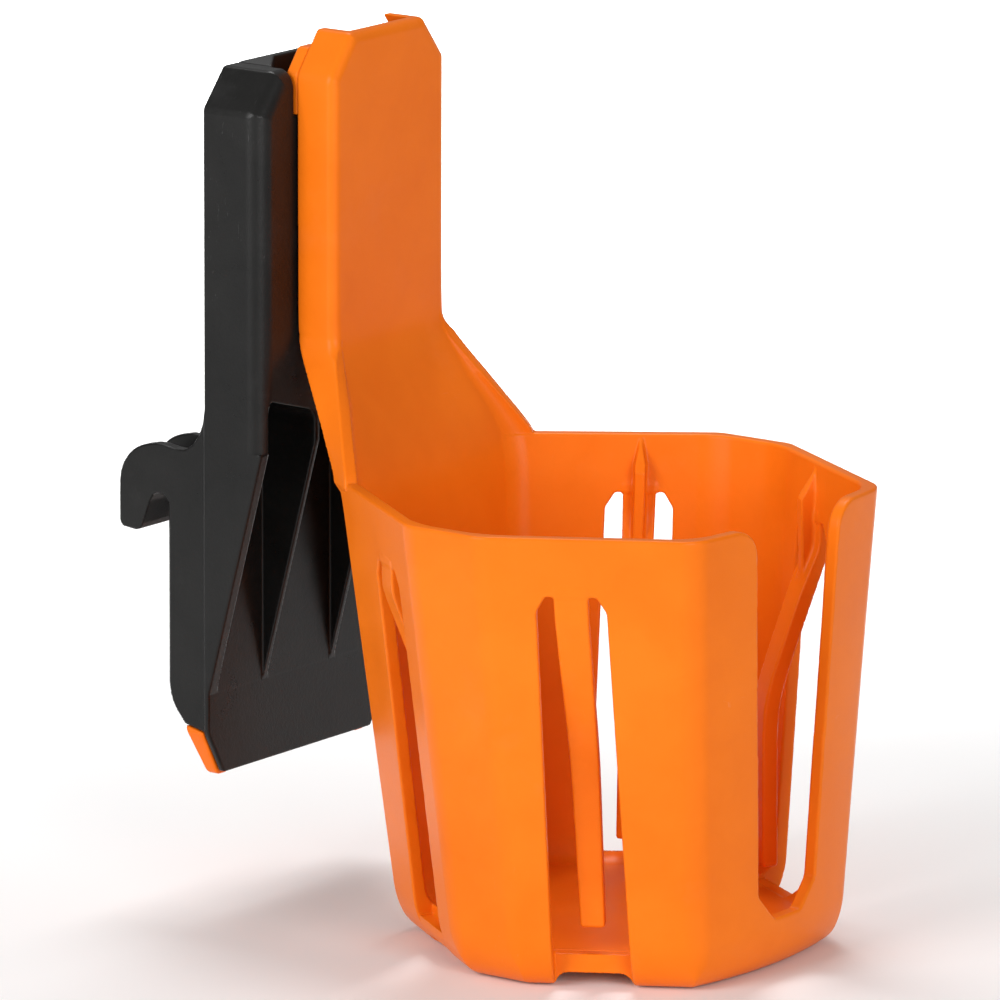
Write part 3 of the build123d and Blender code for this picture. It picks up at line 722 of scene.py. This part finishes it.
def slice_roots(mesh):
    """Cuts the mesh's edges at the fingers' roots, so that they part in a clean line."""
    bm = bmesh.new()
    bm.from_mesh(mesh)
    bm.faces.ensure_lookup_table()
    centres = np.array([f.calc_center_median() for f in bm.faces]) / MM
    near = np.zeros(len(centres), bool)
    for end in FINGER_WALLS:
        along, inward = wall_axes(*centres.T, end)
        near |= (np.abs(along) < 5.6) & (inward > -2.0) & (inward < 14.0) \
            & (np.abs(centres[:, 2] - FINGER_ROOT) < 6.0)
    faces = [f for f, chosen in zip(bm.faces, near) if chosen]
    around = set(faces) | {e for f in faces for e in f.edges} | {v for f in faces for v in f.verts}
    bmesh.ops.bisect_plane(bm, geom=list(around), plane_co=(0, 0, FINGER_ROOT * MM), plane_no=(0, 0, 1),
                           dist=1e-6)
    bmesh.ops.triangulate(bm, faces=[f for f in bm.faces if len(f.verts) > 3])
    bm.to_mesh(mesh)
    bm.free()


def make_holder():
    """The cup with its neck, and its four fingers as pieces of their own.

    A finger is both blended and ridden, so it moves twice when the holder lifts: a known fault.
    """
    whole = moulded("whole_holder", holder, (0.0, -150.0, -90.0), (58.0, -24.0, 102.0), 0.5, 0.3)
    slice_roots(whole.data)
    zones = [(end, sign) for end in FINGER_WALLS for sign in (-1, 1)]
    cup = new_object("holder_cup", cut_out(whole.data, "holder_cup", zones, False))
    shade(cup, holder)
    dress(cup, ORANGE, "holder", "orange_shell", "cup_holder")
    for end in FINGER_WALLS:
        for side, sign in (("left", -1), ("right", 1)):
            name = f"finger_{end}_{side}"
            piece = new_object(name, cut_out(whole.data, name, [(end, sign)], True))
            shade(piece, holder)
            piece.data.materials.append(ORANGE)
            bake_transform(piece)
            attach(piece, name)
            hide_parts(f"grip_finger_{end}_{side}")
    bpy.data.objects.remove(whole)


def make_part(name, solid, low, high, step, keep, material, body, slot_name, *nodes):
    piece = moulded(name, solid, low, high, step, keep)
    shade(piece, solid)
    return dress(piece, material, body, slot_name, *nodes)


make_holder()
make_part("bracket_shell", housing, (0, -28, -62), (32, 11, 94), 0.4, 0.22, BLACK, "bracket", "black_shell",
          "bracket_housing")
make_part("bracket_insert", insert, (0, -22, 30), (20, -12, 94), 0.4, 0.15, BLACK_INNER, "bracket",
          "black_insert", "guide_insert")
make_part("latch_plate", latch, (0, -12, -64), (32, 1, -14), 0.35, 0.2, LATCH, "latch", "orange_latch",
          "release_latch")
make_part("tongue_slide", tongue, (0, -34, 40), (20, -21, 98), 0.35, 0.15, ORANGE, "holder", "orange_shell",
          "mounting_tongue")
for node, material in (("rear_cover", BLACK_INNER), ("rear_cover_screws", STEEL), ("tongue_screws", STEEL),
                       ("latch_spring_left", STEEL), ("latch_spring_right", STEEL)):
    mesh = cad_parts[node].data
    mesh.materials.clear()
    mesh.materials.append(material)

# ---------------------------------------------------------------- stage, light and camera
floor_mesh = bpy.data.meshes.new("floor")
floor_mesh.from_pydata([(-9, -6, BASE * MM - 0.0004), (9, -6, BASE * MM - 0.0004), (9, 9, BASE * MM - 0.0004),
                        (-9, 9, BASE * MM - 0.0004)], [], [(0, 1, 2, 3)])
floor = new_object("floor", floor_mesh)
floor_material, _, floor_shader = node_material("pale_floor")
floor_shader.inputs["Base Color"].default_value = (0.93, 0.93, 0.93, 1)
floor_shader.inputs["Roughness"].default_value = 0.9
floor_shader.inputs["Specular IOR Level"].default_value = 0.1
floor_mesh.materials.append(floor_material)

world = bpy.data.worlds.new("studio")
world.use_nodes = True
world.node_tree.nodes["Background"].inputs[0].default_value = (1, 1, 1, 1)
world.node_tree.nodes["Background"].inputs[1].default_value = 0.26
bpy.context.scene.world = world


def area_light(name, place, target, width, height, watts, spread):
    """Rectangular soft light that points at target."""
    data = bpy.data.lights.new(name, "AREA")
    data.shape = "RECTANGLE"
    data.size = width
    data.size_y = height
    data.energy = watts
    data.spread = spread
    light = bpy.data.objects.new(name, data)
    light.location = place
    light.rotation_euler = (Vector(target) - Vector(place)).to_track_quat("-Z", "Y").to_euler()
    bpy.context.scene.collection.objects.link(light)


area_light("key", (-1.3, 0.15, 0.5), (0, -0.06, 0), 0.6, 0.9, 11.6, 3.1)
area_light("front", (-0.7, -1.3, 0.4), (0, -0.06, 0), 0.7, 0.7, 9.6, 3.1)
area_light("behind", (1.5, 1.3, 1.6), (1.5, 1.3, 0), 2.4, 2.4, 75.0, 1.4)

camera_data = bpy.data.cameras.new("camera")
camera_data.lens = 360.0
camera_data.sensor_width = 36.0
camera_data.clip_start = 0.05
camera_data.clip_end = 60.0
camera = bpy.data.objects.new("camera", camera_data)
turn = Matrix.Rotation(math.radians(-53.7514), 4, "Z") @ Matrix.Rotation(math.radians(77.2988), 4, "X")
turn = turn @ Matrix.Rotation(math.radians(0.2142), 4, "Z")
camera.matrix_world = Matrix.Translation((-1.679731, -1.299223, 0.471418)) @ turn
bpy.context.scene.collection.objects.link(camera)
bpy.context.scene.camera = camera
bpy.context.scene.view_settings.view_transform = "Standard"
